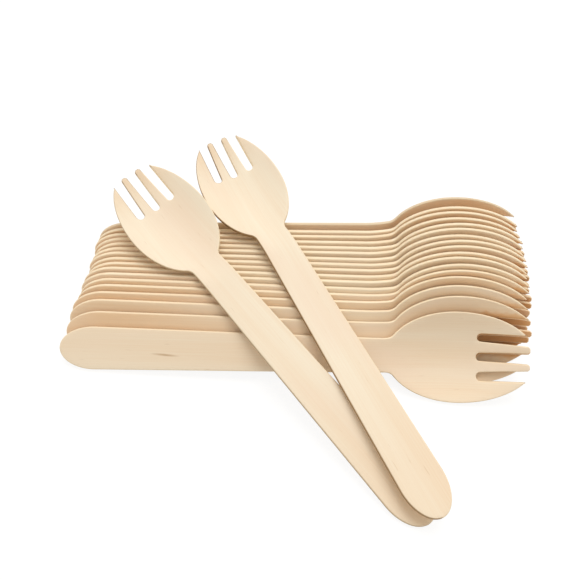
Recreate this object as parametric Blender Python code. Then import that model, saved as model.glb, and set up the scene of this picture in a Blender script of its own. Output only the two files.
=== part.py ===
# A pack of pressed birch sporks: a nested row lying back on its edges, and two more laid across it.
# Each spork is one piece, stamped from flat veneer and pressed at the head.
import math

import bmesh
import bpy
import numpy as np
from mathutils import Matrix
from mathutils.geometry import delaunay_2d_cdt

# The blank, in metres. x runs from the handle's end to the tines, y across it.
LENGTH = 0.160
THICKNESS = 0.0018
HANDLE_WIDTH = 0.0146
HANDLE_ROUND = 0.0118
NECK_WIDTH = 0.0116
NECK_FILLET = 0.0022
HEAD_WIDTH = 0.0309
HEAD_REACH = 0.0244
HEAD_BACK = 0.0240
HEAD_FRONT = 0.0266
SLOT_LENGTH = 0.0171
SLOT_ROOT_WIDTH = 0.0029
SLOT_MOUTH_WIDTH = 0.0037
INNER_TINE_ROOT_WIDTH = 0.0038
INNER_TINE_TIP_WIDTH = 0.0023
TINE_TIP_ROUND = 0.0006

# The press: a shallow dish that fades out at the neck.
DISH_DEPTH = 0.0056
DISH_REACH = 0.0260
DISH_HALF_LENGTH = 0.0282
DISH_HALF_WIDTH = 0.0177
DISH_FADE = 0.35

# The row. Sporks lie back from the viewer, the front ones and the rear one further than the rest.
# From front to rear it turns a little, drifts towards the heads, and bows out that way in its middle.
ROW_COUNT = 17
CLEARANCE = 0.0003
ROW_LEAN = math.radians(15.2)
FRONT_EXTRA_LEAN = math.radians(37)
LEAN_SETTLES = 0.775
REAR_EXTRA_LEAN = math.radians(4.9)
FRONT_TURN = math.radians(-2.6)
REAR_TURN = math.radians(1.2)
TURN_WOBBLE = math.radians(0.15)
ROW_DRIFT = 0.0021
ROW_BOW = 0.0014
END_WOBBLE = 0.0004

# The two laid across: how far along the front spork each crosses its upper edge, how much of its
# handle stands out in front of that edge, and how it points.
LEFT_CROSSES_AT = 0.0697
LEFT_OVERHANG = 0.0792
LEFT_HEADING = math.radians(134.2)
LEFT_TWIST = math.radians(-11.8)
RIGHT_CROSSES_AT = 0.0922
RIGHT_OVERHANG = 0.0665
RIGHT_HEADING = math.radians(121.4)
RIGHT_TWIST = math.radians(-8)

# Points along each curve of the outline, and the spacing of the pressed surface's own points.
END_STEPS = 6
NECK_STEPS = 2
FILLET_STEPS = 3
HEAD_STEPS = 7
SLOT_STEPS = 3
ROOT_STEPS = 4
SURFACE_STEP = 0.0042
CONTACT_STEP = 0.0015

BIRCH = (0.87, 0.73, 0.53, 1.0)
BIRCH_ROUGHNESS = 0.6


def clear_scene():
    for old in list(bpy.data.objects):
        bpy.data.objects.remove(old, do_unlink=True)


def lerp(start, end, share):
    return start + (end - start) * share


def between(start, end, steps):
    """Points evenly spaced after start, up to and with end."""
    shares = [i / steps for i in range(1, steps + 1)]
    return [(lerp(start[0], end[0], s), lerp(start[1], end[1], s)) for s in shares]


def widest_x():
    return LENGTH - HEAD_REACH


def dish_start():
    """Where the flat handle ends and the press begins."""
    return LENGTH - DISH_REACH - DISH_HALF_LENGTH * math.sqrt(1 + DISH_FADE)


def head_half_width(x):
    reach = HEAD_BACK if x < widest_x() else HEAD_FRONT
    return HEAD_WIDTH / 2 * math.sqrt(max(0.0, 1 - ((x - widest_x()) / reach) ** 2))


def handle_end():
    """A quarter of an ellipse, from the middle of the end to where the straight side starts."""
    turns = [math.pi / 2 * i / END_STEPS for i in range(END_STEPS + 1)]
    return [(HANDLE_ROUND * (1 - math.cos(t)), HANDLE_WIDTH / 2 * math.sin(t)) for t in turns]


def neck_fillet():
    """The concave curve where the handle's taper meets the back of the head."""
    share = math.sqrt(1 - (NECK_WIDTH / HEAD_WIDTH) ** 2)
    corner = (widest_x() - HEAD_BACK * share, NECK_WIDTH / 2)
    taper = (HANDLE_WIDTH - NECK_WIDTH) / 2 / (corner[0] - HANDLE_ROUND)
    start = (corner[0] - NECK_FILLET, corner[1] + taper * NECK_FILLET)
    end_x = corner[0] + NECK_FILLET / 2
    end = (end_x, head_half_width(end_x))
    points = []
    for i in range(FILLET_STEPS + 1):
        s = i / FILLET_STEPS
        x, y = (lerp(lerp(start[k], corner[k], s), lerp(corner[k], end[k], s), s) for k in (0, 1))
        points.append((x, y))
    return points


def slot_edges():
    """Half widths, at the slots' roots and mouths, of the centre slot, the inner tine and the side slot."""
    centre = (SLOT_ROOT_WIDTH / 2, SLOT_MOUTH_WIDTH / 2)
    tine = (centre[0] + INNER_TINE_ROOT_WIDTH, centre[1] + INNER_TINE_TIP_WIDTH)
    side = (tine[0] + SLOT_ROOT_WIDTH, tine[1] + SLOT_MOUTH_WIDTH)
    return centre, tine, side


def outer_tip():
    """Where the head's front curve runs into the side slot's outer wall."""
    wall = slot_edges()[2][1]
    return widest_x() + HEAD_FRONT * math.sqrt(max(0.0, 1 - (2 * wall / HEAD_WIDTH) ** 2)), wall


def outer_edge():
    """One side of the blank, from the middle of the handle's end to the tip of the outer tine."""
    points = handle_end()
    fillet = neck_fillet()
    fold_x = min(dish_start(), fillet[0][0] - SURFACE_STEP)
    share = (fold_x - points[-1][0]) / (fillet[0][0] - points[-1][0])
    points.append((fold_x, lerp(points[-1][1], fillet[0][1], share)))
    points += between(points[-1], fillet[0], NECK_STEPS) + fillet[1:]
    start_x = points[-1][0]
    back = math.asin((widest_x() - start_x) / HEAD_BACK)
    front = math.asin((outer_tip()[0] - widest_x()) / HEAD_FRONT)
    for i in range(1, HEAD_STEPS + 1):
        x = widest_x() - HEAD_BACK * math.sin(back * (1 - i / HEAD_STEPS))
        points.append((x, head_half_width(x)))
    for i in range(1, HEAD_STEPS):
        x = widest_x() + HEAD_FRONT * math.sin(front * i / HEAD_STEPS)
        points.append((x, head_half_width(x)))
    points.append(outer_tip())
    return points


def root_arc(outer, inner, share=1.0):
    """The round root of a slot between two walls, from the outer wall to the given share of the way."""
    middle = (outer + inner) / 2
    radius = (outer - inner) / 2
    x = LENGTH - SLOT_LENGTH + radius
    steps = max(1, round(ROOT_STEPS * share))
    turns = [math.pi * share * i / steps for i in range(1, steps + 1)]
    return [(x - radius * math.sin(t), middle + radius * math.cos(t)) for t in turns]


def half_outline():
    """One side of the blank, from the handle's end round both of its tines to the centre slot's root."""
    centre, tine, side = slot_edges()
    side_radius = (side[0] - tine[0]) / 2
    root_x = LENGTH - SLOT_LENGTH
    points = outer_edge()
    points += between(points[-1], (root_x + side_radius, side[0]), SLOT_STEPS)
    points += root_arc(side[0], tine[0])
    points += between(points[-1], (LENGTH - TINE_TIP_ROUND, tine[1]), SLOT_STEPS)
    points.append((LENGTH, tine[1] - TINE_TIP_ROUND))
    points.append((LENGTH, centre[1] + TINE_TIP_ROUND))
    points.append((LENGTH - TINE_TIP_ROUND, centre[1]))
    points += between(points[-1], (root_x + centre[0], centre[0]), SLOT_STEPS)
    points += root_arc(centre[0], -centre[0], 0.5)
    return points


def blank_outline():
    """The whole blank, counter-clockwise."""
    upper = half_outline()
    lower = [(x, -y) for x, y in upper[1:-1]]
    return lower + upper[:0:-1] + upper[:1]


def press(x, y):
    """Height of the pressed front face over the flat handle."""
    along = (x - (LENGTH - DISH_REACH)) / DISH_HALF_LENGTH
    hollow = 1 - along ** 2 - (y / DISH_HALF_WIDTH) ** 2
    faded = DISH_FADE * np.clip((hollow + DISH_FADE) / (2 * DISH_FADE), 0, None) ** 2
    return -DISH_DEPTH * np.where(hollow > DISH_FADE, hollow, faded)


def edge_distance(x, y, outline):
    """Signed distance from a point to the outline, positive inside."""
    least = math.inf
    inside = False
    for (ax, ay), (bx, by) in zip(outline, outline[1:] + outline[:1]):
        dx, dy = bx - ax, by - ay
        share = min(1.0, max(0.0, ((x - ax) * dx + (y - ay) * dy) / (dx * dx + dy * dy)))
        least = min(least, math.hypot(ax + dx * share - x, ay + dy * share - y))
        if (ay > y) != (by > y) and x < ax + (y - ay) * dx / dy:
            inside = not inside
    return least if inside else -least


def surface_points(outline):
    """Staggered points inside the head, where the blank is pressed out of its plane."""
    start = dish_start()
    rows = int((LENGTH - start) / SURFACE_STEP) + 1
    columns = int(HEAD_WIDTH / 2 / SURFACE_STEP) + 1
    found = []
    for row in range(rows):
        x = start + row * SURFACE_STEP
        stagger = 0.5 * (row % 2)
        for column in range(-columns, columns + 1):
            y = (column + stagger) * SURFACE_STEP
            if edge_distance(x, y, outline) > SURFACE_STEP * 0.45:
                found.append((x, y))
    return found


def spork_mesh():
    """The blank is cut flat, given its thickness, and pressed."""
    outline = blank_outline()
    points = outline + surface_points(outline)
    loop = list(range(len(outline)))
    flat, _, triangles, *_ = delaunay_2d_cdt(points, [], [loop], 1, 1e-7)
    bm = bmesh.new()
    corners = [bm.verts.new((p[0], p[1], 0)) for p in flat]
    for triangle in triangles:
        bm.faces.new([corners[i] for i in triangle])
    pulled = bmesh.ops.extrude_face_region(bm, geom=bm.faces[:])["geom"]
    back = [v for v in pulled if isinstance(v, bmesh.types.BMVert)]
    bmesh.ops.translate(bm, verts=back, vec=(0, 0, -THICKNESS))
    for vert in bm.verts:
        vert.co.z += float(press(vert.co.x, vert.co.y))
    bmesh.ops.recalc_face_normals(bm, faces=bm.faces[:])
    mesh = bpy.data.meshes.new("spork")
    bm.to_mesh(mesh)
    bm.free()
    return mesh


def edge_half_width(x):
    """Half the blank's width at x, slots left out, and below zero past its ends."""
    edge = outer_edge() + [(LENGTH, slot_edges()[1][1])]
    return np.interp(x, [p[0] for p in edge], [p[1] for p in edge], left=-1, right=-1)


def contact_points():
    """Points all over the front face and the back face, close together along the edges."""
    stations = np.linspace(0, LENGTH, int(LENGTH / CONTACT_STEP))
    x = np.repeat(stations, 9)
    y = edge_half_width(x) * np.tile(np.linspace(-1, 1, 9), len(stations))
    front = np.column_stack([x, y, press(x, y)])
    return front, front - np.array([0, 0, THICKNESS])


def turned(points, turn):
    return points @ np.array(turn.to_3x3()).T


def placed(points, pose):
    return turned(points, pose) + np.array(pose.translation)


def heights_over(points, pose):
    """Heights of placed points over a placed spork's front face, and which of them lie over it."""
    local = (points - np.array(pose.translation)) @ np.array(pose.to_3x3())
    over = np.abs(local[:, 1]) <= edge_half_width(local[:, 0]) + CLEARANCE
    return local[:, 2] - press(local[:, 0], local[:, 1]), over


def least(heights, over):
    return heights[over].min() if over.any() else math.inf


def gap_in_nest(front_pose, rear_pose, faces):
    """Least gap between a spork's back and the front of the one that it nests on."""
    front, back = faces
    above = least(*heights_over(placed(back, front_pose), rear_pose))
    heights, over = heights_over(placed(front, rear_pose), front_pose)
    return min(above, least(-heights - THICKNESS, over))


def gap_under(pose, others, faces):
    """Least gap between the underside of a laid spork and the sporks that it lies across."""
    gaps = [math.inf]
    for other in others:
        for face in faces:
            heights, over = heights_over(placed(face, other), pose)
            gaps.append(least(-heights - THICKNESS, over))
    return min(gaps)


def lying_back(lean, turn, tilt):
    """A spork on its long edge, front face to the viewer, its upper edge leaning away."""
    return (
        Matrix.Rotation(turn, 4, "Z")
        @ Matrix.Rotation(math.pi / 2 - lean, 4, "X")
        @ Matrix.Rotation(tilt, 4, "Z")
    )


def lowest_by_half(turn, faces):
    """The lowest height of the handle's half and of the head's half."""
    points = np.vstack(faces)
    heights = turned(points, turn)[:, 2]
    handle = points[:, 0] < LENGTH / 2
    return heights[handle].min(), heights[~handle].min()


def on_both_ends(lean, turn, faces):
    """Tilts a leaning spork in its plane until its handle and its head both touch the floor."""
    low, high = math.radians(-5), math.radians(20)
    for _ in range(40):
        tilt = (low + high) / 2
        handle, head = lowest_by_half(lying_back(lean, turn, tilt), faces)
        if handle > head:
            low = tilt
        else:
            high = tilt
    pose = lying_back(lean, turn, tilt)
    return Matrix.Translation((0, 0, -min(handle, head))) @ pose


def row_attitude(index, faces):
    """Lean, turn and end position of a spork in the row, counted from the front."""
    share = index / (ROW_COUNT - 1)
    lean = ROW_LEAN + FRONT_EXTRA_LEAN * LEAN_SETTLES ** index
    if index == ROW_COUNT - 1:
        lean += REAR_EXTRA_LEAN
    turn = lerp(FRONT_TURN, REAR_TURN, share) + TURN_WOBBLE * math.sin(2.4 * index)
    end_x = ROW_DRIFT * share + ROW_BOW * math.sin(math.pi * share) + END_WOBBLE * math.sin(1.7 * index)
    return Matrix.Translation((end_x, 0, 0)) @ on_both_ends(lean, turn, faces)


def row_poses(faces):
    """Poses from front to rear. Each spork is drawn forward until it just clears the one behind it."""
    poses = [row_attitude(ROW_COUNT - 1, faces)]
    for index in reversed(range(ROW_COUNT - 1)):
        attitude = row_attitude(index, faces)
        rear = poses[0]
        near, far = 0.0, LENGTH / 2
        for _ in range(40):
            step = (near + far) / 2
            pose = Matrix.Translation((0, rear.translation.y - step, 0)) @ attitude
            if gap_in_nest(pose, rear, faces) < CLEARANCE:
                near = step
            else:
                far = step
        poses.insert(0, pose)
    return poses


def top_edge_y(pose, x, faces):
    """How far back the upper edge of a spork in the row lies at x."""
    points = placed(faces[0], pose)
    near = points[np.abs(points[:, 0] - x) < CONTACT_STEP]
    return near[near[:, 2].argmax()][1]


def laid_turn(heading, rise, twist):
    return (
        Matrix.Rotation(heading, 4, "Z")
        @ Matrix.Rotation(-rise, 4, "Y")
        @ Matrix.Rotation(twist, 4, "X")
    )


def lowered(pose, below, handles):
    """Lowers a spork until its handle rests on the floor, or on the handle of a laid one."""
    points = np.vstack(handles)
    for _ in range(6):
        room = placed(points, pose)[:, 2].min()
        for other in below:
            room = min(room, (gap_in_nest(pose, other, handles) - CLEARANCE) / pose[2][2])
        pose = Matrix.Translation((0, 0, -room)) @ pose
    return pose


def lay_across(crossing, overhang, heading, twist, row, below, faces):
    """Lays a spork down, handle to the viewer, its head raised until it clears all that it lies on."""
    handles = [face[face[:, 0] < LENGTH / 2] for face in faces]
    heads = [face[face[:, 0] >= LENGTH / 2] for face in faces]
    edge = Matrix.Translation((crossing, top_edge_y(row[0], crossing, faces), 0))
    low, high = 0.0, math.radians(45)
    for _ in range(30):
        rise = (low + high) / 2
        turn = laid_turn(heading, rise, twist)
        pose = lowered(edge @ turn @ Matrix.Translation((-overhang, 0, 0)), below, handles)
        if min(gap_under(pose, row, faces), gap_under(pose, below, heads)) < CLEARANCE:
            low = rise
        else:
            high = rise
    return pose


def birch(name):
    material = bpy.data.materials.new(name)
    material.use_nodes = True
    shader = material.node_tree.nodes["Principled BSDF"]
    shader.inputs["Base Color"].default_value = BIRCH
    shader.inputs["Roughness"].default_value = BIRCH_ROUGHNESS
    shader.inputs["Metallic"].default_value = 0.0
    return material


def add_spork(name, mesh, pose):
    spork = bpy.data.objects.new(name, mesh)
    bpy.context.scene.collection.objects.link(spork)
    spork.matrix_world = pose
    return spork


def centre_on_floor(sporks):
    """Moves the pack so that the middle of its footprint is at the origin."""
    bpy.context.view_layer.update()
    corners = np.array([spork.matrix_world @ v.co for spork in sporks for v in spork.data.vertices])
    low, high = corners.min(axis=0), corners.max(axis=0)
    shift = Matrix.Translation((-(low[0] + high[0]) / 2, -(low[1] + high[1]) / 2, -low[2]))
    for spork in sporks:
        spork.matrix_world = shift @ spork.matrix_world


def main():
    clear_scene()
    faces = contact_points()
    mesh = spork_mesh()
    mesh.materials.append(birch("birch"))
    row = row_poses(faces)
    left = lay_across(LEFT_CROSSES_AT, LEFT_OVERHANG, LEFT_HEADING, LEFT_TWIST, row, [], faces)
    right = lay_across(RIGHT_CROSSES_AT, RIGHT_OVERHANG, RIGHT_HEADING, RIGHT_TWIST, row, [left], faces)
    sporks = [add_spork(f"row_spork_{i + 1:02d}", mesh, pose) for i, pose in enumerate(row)]
    sporks.append(add_spork("laid_spork_left", mesh, left))
    sporks.append(add_spork("laid_spork_right", mesh, right))
    centre_on_floor(sporks)


main()
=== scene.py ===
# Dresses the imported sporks: a finer mesh of pressed birch veneer stands for each solid.
import math
import random

import bpy
import numpy as np
from mathutils import Matrix, Vector
from mathutils.geometry import delaunay_2d_cdt


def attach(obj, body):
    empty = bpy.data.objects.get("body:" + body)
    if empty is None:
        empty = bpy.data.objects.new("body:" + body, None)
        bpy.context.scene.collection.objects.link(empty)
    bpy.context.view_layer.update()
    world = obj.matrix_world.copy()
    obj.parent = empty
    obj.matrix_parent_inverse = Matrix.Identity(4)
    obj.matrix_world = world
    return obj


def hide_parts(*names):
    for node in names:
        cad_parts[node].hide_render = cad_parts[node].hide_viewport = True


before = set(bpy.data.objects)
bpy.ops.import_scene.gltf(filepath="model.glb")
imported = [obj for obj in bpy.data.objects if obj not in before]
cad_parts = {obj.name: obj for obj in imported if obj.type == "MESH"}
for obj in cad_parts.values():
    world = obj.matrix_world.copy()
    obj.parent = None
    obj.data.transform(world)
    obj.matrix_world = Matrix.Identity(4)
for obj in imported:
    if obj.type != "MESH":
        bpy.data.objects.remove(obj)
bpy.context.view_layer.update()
print("frame loaded,", len(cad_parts), "sporks")


# The blank, as in the solids, with the roundness of its sanded edges. Metres.
blank = {
    "length": 0.160,
    "thickness": 0.0018,
    "handleWidth": 0.0146,
    "handleRound": 0.0118,
    "neckWidth": 0.0116,
    "neckFillet": 0.0022,
    "headWidth": 0.0309,
    "headReach": 0.0244,
    "headBack": 0.0240,
    "headFront": 0.0266,
    "slotLength": 0.0171,
    "slotRootWidth": 0.0029,
    "slotMouthWidth": 0.0037,
    "innerTineRootWidth": 0.0038,
    "innerTineTipWidth": 0.0023,
    "tineTipRound": 0.0006,
    "edgeRound": 0.00045,
}

# How finely the blank is divided. Steps are metres between points, and an arc is how many times
# longer a curve is than its run.
fineness = {
    "curveStep": 0.0009,
    "faceStep": 0.0017,
    "faceClear": 0.45,  # the share of a face step that stays free along the edge
    "handleArc": 1.3,
    "neckArc": 1.5,
    "headArc": 1.1,
    "rootSteps": 8,
    "sameSpot": 1e-7,
}

# The dish that the press leaves in the head.
dish = {
    "depth": 0.0056,
    "reach": 0.0260,
    "halfLength": 0.0282,
    "halfWidth": 0.0177,
    "fade": 0.35,
}


def lerp(start, end, share):
    return start + (end - start) * share


def pressed(x, y):
    # height of the front face over the flat handle
    along = (x - (blank["length"] - dish["reach"])) / dish["halfLength"]
    hollow = 1 - along**2 - (y / dish["halfWidth"]) ** 2
    faded = dish["fade"] * np.clip((hollow + dish["fade"]) / (2 * dish["fade"]), 0, None) ** 2
    return -dish["depth"] * np.where(hollow > dish["fade"], hollow, faded)


def widestX():
    return blank["length"] - blank["headReach"]


def headHalfWidth(x):
    reach = blank["headBack"] if x < widestX() else blank["headFront"]
    return blank["headWidth"] / 2 * math.sqrt(max(0.0, 1 - ((x - widestX()) / reach) ** 2))


def stepsFor(length):
    return max(2, round(length / fineness["curveStep"]))


def straight(start, end):
    # evenly spaced points after start, with end
    count = stepsFor(math.dist(start, end))
    shares = [i / count for i in range(1, count + 1)]
    return [(lerp(start[0], end[0], s), lerp(start[1], end[1], s)) for s in shares]


def handleEnd():
    # a quarter of an ellipse, from the very end of the handle to its side
    reach, half = blank["handleRound"], blank["handleWidth"] / 2
    count = stepsFor(reach * fineness["handleArc"])
    turns = [math.pi / 2 * i / count for i in range(count + 1)]
    return [(reach * (1 - math.cos(t)), half * math.sin(t)) for t in turns]


def neckCurve():
    # rounds the corner where the handle's side meets the head
    fillet = blank["neckFillet"]
    share = math.sqrt(1 - (blank["neckWidth"] / blank["headWidth"]) ** 2)
    corner = (widestX() - blank["headBack"] * share, blank["neckWidth"] / 2)
    slope = (blank["handleWidth"] - blank["neckWidth"]) / 2 / (corner[0] - blank["handleRound"])
    start = (corner[0] - fillet, corner[1] + slope * fillet)
    endX = corner[0] + fillet / 2
    end = (endX, headHalfWidth(endX))
    count = stepsFor(fillet * fineness["neckArc"])
    points = []
    for i in range(count + 1):
        s = i / count
        x, y = (lerp(lerp(start[k], corner[k], s), lerp(corner[k], end[k], s), s) for k in (0, 1))
        points.append((x, y))
    return points


def slotWalls():
    # half widths at root and mouth: centre slot, inner tine, side slot
    centre = (blank["slotRootWidth"] / 2, blank["slotMouthWidth"] / 2)
    tine = (centre[0] + blank["innerTineRootWidth"], centre[1] + blank["innerTineTipWidth"])
    side = (tine[0] + blank["slotRootWidth"], tine[1] + blank["slotMouthWidth"])
    return centre, tine, side


def outerEdge():
    # one side of the blank, from the handle's end to the tip of the outer tine
    neck = neckCurve()
    points = handleEnd()
    points += straight(points[-1], neck[0]) + neck[1:]
    rear, fore, middle = blank["headBack"], blank["headFront"], widestX()
    wall = slotWalls()[2][1]
    tipX = middle + fore * math.sqrt(1 - (2 * wall / blank["headWidth"]) ** 2)
    back = math.asin((middle - points[-1][0]) / rear)
    front = math.asin((tipX - middle) / fore)
    backCount, frontCount = (stepsFor(reach * fineness["headArc"]) for reach in (rear, fore))
    places = [middle - rear * math.sin(back * (1 - i / backCount)) for i in range(1, backCount + 1)]
    places += [middle + fore * math.sin(front * i / frontCount) for i in range(1, frontCount)]
    return points + [(x, headHalfWidth(x)) for x in places] + [(tipX, wall)]


def slotRoot(outer, inner, share=1.0):
    # the round end of a slot, or a share of it, from its outer wall
    middle, radius = (outer + inner) / 2, (outer - inner) / 2
    x = blank["length"] - blank["slotLength"] + radius
    count = max(3, round(fineness["rootSteps"] * share))
    turns = [math.pi * share * i / count for i in range(1, count + 1)]
    return [(x - radius * math.sin(t), middle + radius * math.cos(t)) for t in turns]


def blankOutline():
    # the whole blank, counter-clockwise
    centre, tine, side = slotWalls()
    tipX, tipRound = blank["length"], blank["tineTipRound"]
    rootX = tipX - blank["slotLength"]
    upper = outerEdge()
    upper += straight(upper[-1], (rootX + (side[0] - tine[0]) / 2, side[0]))
    upper += slotRoot(side[0], tine[0])
    upper += straight(upper[-1], (tipX - tipRound, tine[1]))
    upper += [(tipX, tine[1] - tipRound), (tipX, centre[1] + tipRound)]
    upper.append((tipX - tipRound, centre[1]))
    upper += straight(upper[-1], (rootX + centre[0], centre[0]))
    upper += slotRoot(centre[0], -centre[0], 0.5)
    lower = [(x, -y) for x, y in upper[1:-1]]
    return np.array(lower + upper[:0:-1] + upper[:1])


def outward(outline):
    # unit directions out of the blank, in its plane
    along = np.roll(outline, -1, axis=0) - np.roll(outline, 1, axis=0)
    side = np.column_stack([along[:, 1], -along[:, 0]])
    return side / np.linalg.norm(side, axis=1)[:, None]


def insideBy(outline, point):
    # how far inside the outline a point lies, below zero outside
    start, end = outline, np.roll(outline, -1, axis=0)
    run = end - start
    share = np.clip(((point - start) * run).sum(1) / (run**2).sum(1), 0, 1)
    near = np.linalg.norm(start + run * share[:, None] - point, axis=1).min()
    spans = (start[:, 1] > point[1]) != (end[:, 1] > point[1])
    crossX = start[:, 0] + (point[1] - start[:, 1]) * run[:, 0] / np.where(spans, run[:, 1], 1)
    return near if (spans & (point[0] < crossX)).sum() % 2 else -near


def facePoints(outline):
    # points in staggered rows over the face, clear of its edge
    step = fineness["faceStep"]
    found = []
    columns = math.ceil(blank["headWidth"] / 2 / step)
    for row in range(1, int(blank["length"] / step)):
        for column in range(-columns, columns + 1):
            point = np.array([row * step, (column + 0.5 * (row % 2)) * step])
            if insideBy(outline, point) > step * fineness["faceClear"]:
                found.append(point)
    return found


def sporkForm():
    # the blank's corners as x, y and depth, its faces, and which corners are on the cut edge:
    # both sides filled, a rounded edge between
    outline = blankOutline()
    out = outward(outline)
    edge, thick, ringSize = blank["edgeRound"], blank["thickness"], len(outline)
    turns = [0, math.pi / 4, math.pi / 2]
    profile = [(edge * (1 - math.sin(t)), edge * (1 - math.cos(t))) for t in turns]
    profile += [(inset, thick - depth) for inset, depth in reversed(profile)]
    rings = []
    for inset, depth in profile:
        rings.append(np.column_stack([outline - out * inset, np.full(ringSize, depth)]))
    inner = rings[0][:, :2]
    spots = [Vector(p) for p in list(inner) + facePoints(inner)]
    rim, insideOnly = list(range(ringSize)), 1
    flat, _, triangles, *_ = delaunay_2d_cdt(spots, [], [rim], insideOnly, fineness["sameSpot"])
    flat = np.array([tuple(p) for p in flat])
    count = len(flat)
    front = np.column_stack([flat, np.zeros(count)])
    corners = np.vstack([front] + rings[1:] + [front[ringSize:] + (0, 0, thick)])
    faces = [tuple(t) for t in triangles]
    starts = [0] + [count + ringSize * i for i in range(len(rings) - 1)]
    for upper, lower in zip(starts, starts[1:]):
        for i in range(ringSize):
            j = (i + 1) % ringSize
            faces.append((upper + i, lower + i, lower + j, upper + j))
    last, inside = starts[-1], starts[-1] + ringSize

    def under(i):
        return last + i if i < ringSize else inside + i - ringSize

    faces += [tuple(under(i) for i in reversed(t)) for t in triangles]
    cut = np.zeros(len(corners))
    for start in starts[1:-1]:
        cut[start:start + ringSize] = 1
    return corners, faces, cut


def poseOf(node):
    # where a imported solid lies: x along its handle, z out of its front, from the handle's end
    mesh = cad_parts[node].data
    digits = 6  # of a metre: corners within a micrometre are one
    corners = np.unique(np.round([tuple(v.co) for v in mesh.vertices], digits), axis=0)
    widest = max(mesh.polygons, key=lambda face: face.area)
    up = np.array(widest.normal)
    level = np.array(mesh.vertices[widest.vertices[0]].co) @ up
    if (corners @ up).max() - level > blank["thickness"] / 4:  # the widest face is the back one
        up = -up
    middle = corners.mean(axis=0)
    along = np.linalg.svd(corners - middle)[2][0]
    along -= up * (along @ up)
    along /= np.linalg.norm(along)
    deepest = corners[(corners @ up).argmin()]
    if (deepest - middle) @ along < 0:
        along = -along
    across = np.cross(up, along)
    wide = corners @ across
    origin = along * (corners @ along).min() + across * (wide.max() + wide.min()) / 2
    origin += up * (corners @ up).max()
    pose = np.eye(4)
    pose[:3, :] = np.column_stack([along, across, up, origin])
    return pose


# One small class wraps a socket, so that shader sums are written as sums.
class Wire:
    def __init__(self, paint, socket):
        self.paint = paint
        self.socket = socket

    def sum(self, operation, first, second):
        return self.paint.node("ShaderNodeMath", {"operation": operation}, {0: first, 1: second})

    def __add__(self, other):
        return self.sum("ADD", self, other)

    def __sub__(self, other):
        return self.sum("SUBTRACT", self, other)

    def __rsub__(self, other):
        return self.sum("SUBTRACT", other, self)

    def __mul__(self, other):
        return self.sum("MULTIPLY", self, other)

    __radd__ = __add__
    __rmul__ = __mul__

    def atLeast(self, other):
        return self.sum("MAXIMUM", self, other)


class Paint:
    # the nodes of one material or of the world
    def __init__(self, owner):
        owner.use_nodes = True
        self.tree = owner.node_tree
        self.tree.nodes.clear()

    def node(self, kind, settings, sockets, output=0):
        made = self.tree.nodes.new(kind)
        for name, value in settings.items():
            if name == "stops":
                while len(made.color_ramp.elements) < len(value):
                    made.color_ramp.elements.new(0.5)
                for stop, (place, shade) in zip(made.color_ramp.elements, value):
                    stop.position = place
                    stop.color = (shade, shade, shade, 1)
            else:
                setattr(made, name, value)
        for name, value in sockets.items():
            if isinstance(value, Wire):
                self.tree.links.new(value.socket, made.inputs[name])
            else:
                made.inputs[name].default_value = value
        return Wire(self, made.outputs[output]) if made.outputs else None

    def written(self, name, output="Fac"):
        # what the mesh's corners say under a name
        return self.node("ShaderNodeAttribute", {"attribute_name": name}, {}, output)

    def vector(self, operation, sockets, output=0):
        return self.node("ShaderNodeVectorMath", {"operation": operation}, sockets, output)

    def noise(self, point, grain):
        sockets = {
            "Vector": self.vector("MULTIPLY", {0: point, 1: grain["stretch"]}),
            "Scale": 1.0,
            "Detail": grain["detail"],
            "Roughness": grain["roughness"],
        }
        return self.node("ShaderNodeTexNoise", {}, sockets)

    def ramp(self, value, *stops):
        return self.node("ShaderNodeValToRGB", {"stops": stops}, {0: value})

    def mask(self, point, grain):
        # rises from 0 to 1 between two levels of the noise
        return self.ramp(self.noise(point, grain), (grain["from"], 0), (grain["to"], 1))

    def mix(self, share, first, second):
        # of colours, which are its sockets 6 and 7 and its output 2
        settings = {"data_type": "RGBA", "blend_type": "MIX"}
        return self.node("ShaderNodeMix", settings, {0: share, 6: first, 7: second}, 2)


# Birch veneer: its colours, with two browns that are painted shade, its grains and how much each of
# them shows. A stretch is repeats per metre along the grain, across it, and through the sheet.
veneer = {
    "cream": (0.955, 0.855, 0.685, 1),
    "tan": (0.82, 0.52, 0.275, 1),
    # painted shade deep in the row's slots
    "slotShadeBrown": (0.58, 0.28, 0.10, 1),
    "pink": (0.93, 0.745, 0.58, 1),
    "fleck": (0.50, 0.31, 0.15, 1),
    "cutEdge": (0.98, 0.86, 0.64, 1),
    # painted shade on cut edges the light misses
    "edgeShadeBrown": (0.33, 0.19, 0.08, 1),
    "fibres": {"stretch": (26, 2300, 900), "detail": 3, "roughness": 0.6, "from": 0.35, "to": 0.68},
    "bands": {"stretch": (6, 150, 60), "detail": 2, "roughness": 0.5, "from": 0.38, "to": 0.66},
    "clouds": {"stretch": (16, 44, 20), "detail": 2, "roughness": 0.5, "from": 0.5, "to": 0.68},
    "flecks": {"stretch": (150, 1700, 700), "detail": 1, "roughness": 0.5, "from": 0.73, "to": 0.8},
    "pores": {"stretch": (400, 5200, 5200), "detail": 2, "roughness": 0.5},
    "fibreTan": 0.12,
    "bandTan": 0.15,
    "cloudPink": 0.5,
    "fleckDark": 0.25,
    "streakDark": 0.85,
    "edgeFibres": 0.3,
    "edgeTan": 0.15,
    "fibreRelief": 0.5,
    "poreRelief": 0.5,
    "reliefStrength": 0.12,
    "reliefHeight": 0.0001,
    "roughness": 0.58,
    "fibreRoughness": 0.14,
    "specular": 0.3,
}

# The one dark streak in the grain, on the front handle. Fade is the share of its half size at
# which it is gone, and farOff keeps it away from the other sporks.
streak = {
    "along": 0.0365,
    "across": -0.0017,
    "length": 0.0115,
    "width": 0.0011,
    "turn": math.radians(-4),
    "fade": 0.95,
    "farOff": 9.0,
}


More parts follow.
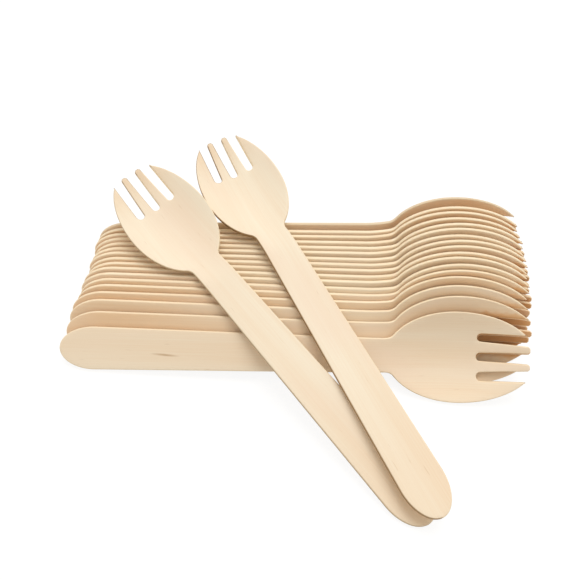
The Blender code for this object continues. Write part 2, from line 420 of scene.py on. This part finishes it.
def birchVeneer():
    material = bpy.data.materials.new("birchVeneer")
    paint = Paint(material)
    point = paint.written("sheetPoint", "Vector")
    # the sheet's tone, with painted shade added on some sporks
    toneAndShade = paint.written("sheetTone")
    fromStreak = paint.vector("LENGTH", {0: paint.written("streakPoint", "Vector")}, "Value")
    fibreMask, bandMask, cloudMask, fleckMask = (
        paint.mask(point, veneer[grain]) for grain in ("fibres", "bands", "clouds", "flecks")
    )
    pores = paint.noise(point, veneer["pores"])
    streakMask = paint.ramp(fromStreak, (0.0, 1), (streak["fade"], 0))
    shade = fibreMask * veneer["fibreTan"] + bandMask * veneer["bandTan"] + toneAndShade
    dark = fleckMask * veneer["fleckDark"] + streakMask * veneer["streakDark"]
    colour = paint.mix(shade, veneer["cream"], veneer["tan"])
    # past a tone of 1 the colour turns brown: painted shade on the row's tines in the slots
    colour = paint.mix(toneAndShade - 1, colour, veneer["slotShadeBrown"])
    colour = paint.mix(cloudMask * veneer["cloudPink"], colour, veneer["pink"])
    colour = paint.mix(dark, colour, veneer["fleck"])
    edgeShade = fibreMask * veneer["edgeFibres"] + toneAndShade * veneer["edgeTan"]
    edgeColour = paint.mix(edgeShade, veneer["cutEdge"], veneer["tan"])
    # cut edges the light misses are darkened: painted shade
    edgeColour = paint.mix(paint.written("edgeScorch"), edgeColour, veneer["edgeShadeBrown"])
    colour = paint.mix(paint.written("cutEdge"), colour, edgeColour)
    relief = {
        "Strength": veneer["reliefStrength"],
        "Distance": veneer["reliefHeight"],
        "Height": fibreMask * veneer["fibreRelief"] + pores * veneer["poreRelief"],
    }
    finish = {
        "Base Color": colour,
        "Roughness": veneer["roughness"] + fibreMask * veneer["fibreRoughness"],
        "Specular IOR Level": veneer["specular"],
        "Normal": paint.node("ShaderNodeBump", {}, relief),
    }
    shader = paint.node("ShaderNodeBsdfPrincipled", {}, finish)
    paint.node("ShaderNodeOutputMaterial", {}, {"Surface": shader})
    return material


# Each spork is cut from its own place on the sheet, and is a little lighter or darker than the
# next.
# Painted shade is added to that: on the second and the rear spork, on the row's heads, on the laid
# sporks' tips, and on the row's inner tines where the slots show them. A tone goes from cream at 0
# to tan at 1 and on to brown, the painted shade of the slots, and its fade says where it starts and
# where it is full, in metres from the handle's end.
sheet = {
    "seed": 7,
    "alongSpread": 3.0,
    "acrossSpread": 1.2,
    "frontTone": 0.15,
    # the rear spork is tanner all over: painted shade on its upright face, which the light misses
    "rearShadeTone": 0.42,
    "rowTone": 0.12,
    "toneSpread": 0.26,
    "tonePower": 1.5,
    # painted shade on the second spork, which stands behind the front one
    "secondShadeTone": 0.15,
    "rowEndTone": 0.30,
    "rowEndFade": (0.07, 0.02),
    # painted shade on the row's heads, nested among the others
    "pressedTone": 0.07,
    "pressedFade": (0.115, 0.14),
    # painted shade: the row's inner tines turn brown where the slots show them
    "slotTone": 1.40,
    "slotFade": (0.134, 0.146),
    "slotSideFade": (0.0101, 0.0080),  # from the spork's middle line
    "laidEndTone": 0.20,
    "laidEndFade": (0.07, 0.0),
    # painted shade on the laid sporks' tines towards their tips
    "laidTipTone": 0.28,
    "laidTipFade": (0.144, 0.16),
}

# Painted shade on one cut edge of a spork, on the side the light misses: how much, how sharply, and
# on which side of its length.
edgeShading = {
    "row": (0.55, 0.8, -1),
    "row_spork_17": (0.30, 0.1, 1),
    "laid_spork_left": (0.9, 0.3, 1),
    "laid_spork_right": (1.0, 0.05, 1),
}

# The edges at the laid sporks' tips are darkened too: painted shade on their ends.
tipEdgeShade = {"amount": 0.8, "fade": (0.1565, 0.16)}


def smoothly(x, fade):
    start, end = fade
    share = np.clip((x - start) / (end - start), 0, 1)
    return share * share * (3 - 2 * share)


def toneAndShadeOf(node, corners, luck):
    # how tan each corner is: the row has tanner ends, and painted shade makes its heads tanner and
    # brown where the slots show them
    chance = luck.random()
    x, y = corners[:, 0], abs(corners[:, 1])

    def part(name):
        return sheet[name + "Tone"] * smoothly(x, sheet[name + "Fade"])

    if node.startswith("laid"):
        # the laid tips are darker: painted shade
        return part("laidEnd") + part("laidTip")
    if node == "row_spork_01":
        return np.full(len(x), sheet["frontTone"])
    # the rear spork's tone is painted shade
    if node == "row_spork_17":
        return np.full(len(x), sheet["rearShadeTone"])
    toneAndShade = sheet["rowTone"] + chance ** sheet["tonePower"] * sheet["toneSpread"]
    # the second spork's extra tone is painted shade
    if node == "row_spork_02":
        toneAndShade += sheet["secondShadeTone"]
    # the pressed part is painted shade on the row's heads
    toneAndShade = toneAndShade + part("rowEnd") + part("pressed")
    # the slot part is painted shade, brown on the inner tines
    return toneAndShade + part("slot") * smoothly(y, sheet["slotSideFade"])


def edgeShadingOf(node, corners):
    # painted shade on one cut edge: grows from the front rim to the back rim, on one side
    amount, power, side = edgeShading[node] if node in edgeShading else edgeShading["row"]
    depth = np.clip(corners[:, 2] / blank["thickness"], 0, 1)
    edge = np.where(corners[:, 1] * side > 0, amount * depth**power, 0)
    if not node.startswith("laid"):
        return edge
    # and painted shade on the laid sporks' edges at their tips
    return np.maximum(edge, tipEdgeShade["amount"] * smoothly(corners[:, 0], tipEdgeShade["fade"]))


def streakPlace(node, corners):
    # from the streak's middle, as shares of its half length and half width
    if node != "row_spork_01":
        return np.full(corners.shape, streak["farOff"])
    x, y = corners[:, 0] - streak["along"], corners[:, 1] - streak["across"]
    cosine, sine = math.cos(streak["turn"]), math.sin(streak["turn"])
    along = (x * cosine + y * sine) / (streak["length"] / 2)
    across = (y * cosine - x * sine) / (streak["width"] / 2)
    return np.column_stack([along, across, np.zeros(len(x))])


def addObject(name, data):
    made = bpy.data.objects.new(name, data)
    bpy.context.scene.collection.objects.link(made)
    return made


def placeSpork(node, form, material, luck):
    corners, faces, cut = form
    pose = poseOf(node)
    height = pressed(corners[:, 0], corners[:, 1]) - corners[:, 2]
    lifted = np.column_stack([corners[:, :2], height])
    mesh = bpy.data.meshes.new(node + "Veneer")
    mesh.from_pydata((lifted @ pose[:3, :3].T + pose[:3, 3]).tolist(), [], faces)
    mesh.shade_smooth()
    mesh.materials.append(material)
    shift = (luck.uniform(0, sheet["alongSpread"]), luck.uniform(0, sheet["acrossSpread"]), 0)
    places = {"sheetPoint": corners + shift, "streakPoint": streakPlace(node, corners)}
    for name, values in places.items():
        written = mesh.attributes.new(name, "FLOAT_VECTOR", "POINT")
        written.data.foreach_set("vector", values.ravel())
    amounts = {
        "sheetTone": toneAndShadeOf(node, corners, luck),
        "cutEdge": cut,
        "edgeScorch": edgeShadingOf(node, corners),
    }
    for name, values in amounts.items():
        written = mesh.attributes.new(name, "FLOAT", "POINT")
        written.data.foreach_set("value", values)
    piece = addObject(node + "Veneer", mesh)
    piece.modifiers.new("evenNormals", "WEIGHTED_NORMAL")
    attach(piece, "root")
    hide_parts(node)
    return pose


def dressSporks():
    form = sporkForm()
    material = birchVeneer()
    luck = random.Random(sheet["seed"])
    poses = {node: placeSpork(node, form, material, luck) for node in sorted(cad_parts)}
    print("sporks dressed,", len(form[0]), "corners each")
    return poses


# A white sweep that still takes the pack's shadow, and soft light from above and a little behind.
studio = {
    "floorSize": 24.0,
    "floorWhite": (0.92, 0.915, 0.90, 1),
    "floorGlow": 0.82,
    "glowStrength": 1.08,
    "plainWhite": (1, 1, 1, 1),
    "skyColour": (1.0, 0.95, 0.88, 1),
    "skyStrength": 0.58,
    "keyFrom": (0.05, 0.38, 0.92),
    "keySpread": math.radians(40),
    "keyStrength": 1.60,
}


def seenDirectly(paint):
    # 1 for what the camera sees, also in gloss or through something clear
    camera = paint.node("ShaderNodeLightPath", {}, {}, "Is Camera Ray")
    rays = camera.socket.node.outputs
    glossy, through = (Wire(paint, rays[name]) for name in ("Is Glossy Ray", "Is Transmission Ray"))
    return camera.atLeast(glossy.atLeast(through))


def layFloor():
    half = studio["floorSize"] / 2
    corners = [(-half, -half, 0), (half, -half, 0), (half, half, 0), (-half, half, 0)]
    mesh = bpy.data.meshes.new("floorSweep")
    mesh.from_pydata(corners, [], [(0, 1, 2, 3)])
    floor = addObject("floorSweep", mesh)
    material = bpy.data.materials.new("floorPaper")
    paint = Paint(material)
    paper = paint.node("ShaderNodeBsdfDiffuse", {}, {"Color": studio["floorWhite"]})
    light = {"Color": studio["plainWhite"], "Strength": studio["glowStrength"]}
    glow = paint.node("ShaderNodeEmission", {}, light)
    share = seenDirectly(paint) * studio["floorGlow"]
    both = paint.node("ShaderNodeMixShader", {}, {0: share, 1: paper, 2: glow})
    paint.node("ShaderNodeOutputMaterial", {}, {"Surface": both})
    mesh.materials.append(material)


def lightStudio():
    world = bpy.data.worlds.new("studioSky")
    bpy.context.scene.world = world
    paint = Paint(world)
    light = {"Color": studio["skyColour"], "Strength": studio["skyStrength"]}
    sky = paint.node("ShaderNodeBackground", {}, light)
    backdrop = {"Color": studio["plainWhite"], "Strength": 1.0}
    white = paint.node("ShaderNodeBackground", {}, backdrop)
    both = paint.node("ShaderNodeMixShader", {}, {0: seenDirectly(paint), 1: sky, 2: white})
    paint.node("ShaderNodeOutputWorld", {}, {"Surface": both})
    lamp = bpy.data.lights.new("softKey", "SUN")
    lamp.angle = studio["keySpread"]
    lamp.energy = studio["keyStrength"]
    key = addObject("softKey", lamp)
    key.location = studio["keyFrom"]
    key.rotation_euler = (-Vector(studio["keyFrom"])).to_track_quat("-Z", "Y").to_euler()


# The camera looks at a point on the floor, measured from the front spork's handle end.
shot = {
    "aimAlong": 0.07743,
    "aimBack": 0.03575,
    "distance": 0.23823,
    "elevation": math.radians(52.21),
    "roll": math.radians(3.99),
    "focalPixels": 620.1,
    "framePixels": 580,
    "sensor": 36.0,
    "nearest": 0.01,
}


def setCamera(frontPose):
    aim = Vector((frontPose[0, 3] + shot["aimAlong"], frontPose[1, 3] + shot["aimBack"], 0))
    tilt = Matrix.Rotation(math.pi / 2 - shot["elevation"], 4, "X")
    roll = Matrix.Rotation(shot["roll"], 4, "Z")
    back = Matrix.Translation((0, 0, shot["distance"]))
    data = bpy.data.cameras.new("photoView")
    data.sensor_width = shot["sensor"]
    data.lens = shot["focalPixels"] / shot["framePixels"] * shot["sensor"]
    data.clip_start = shot["nearest"]
    camera = addObject("photoView", data)
    camera.matrix_world = Matrix.Translation(aim) @ tilt @ back @ roll
    bpy.context.scene.camera = camera


poses = dressSporks()
layFloor()
lightStudio()
setCamera(poses["row_spork_01"])
bpy.context.scene.view_settings.view_transform = "Standard"
print("scene ready")
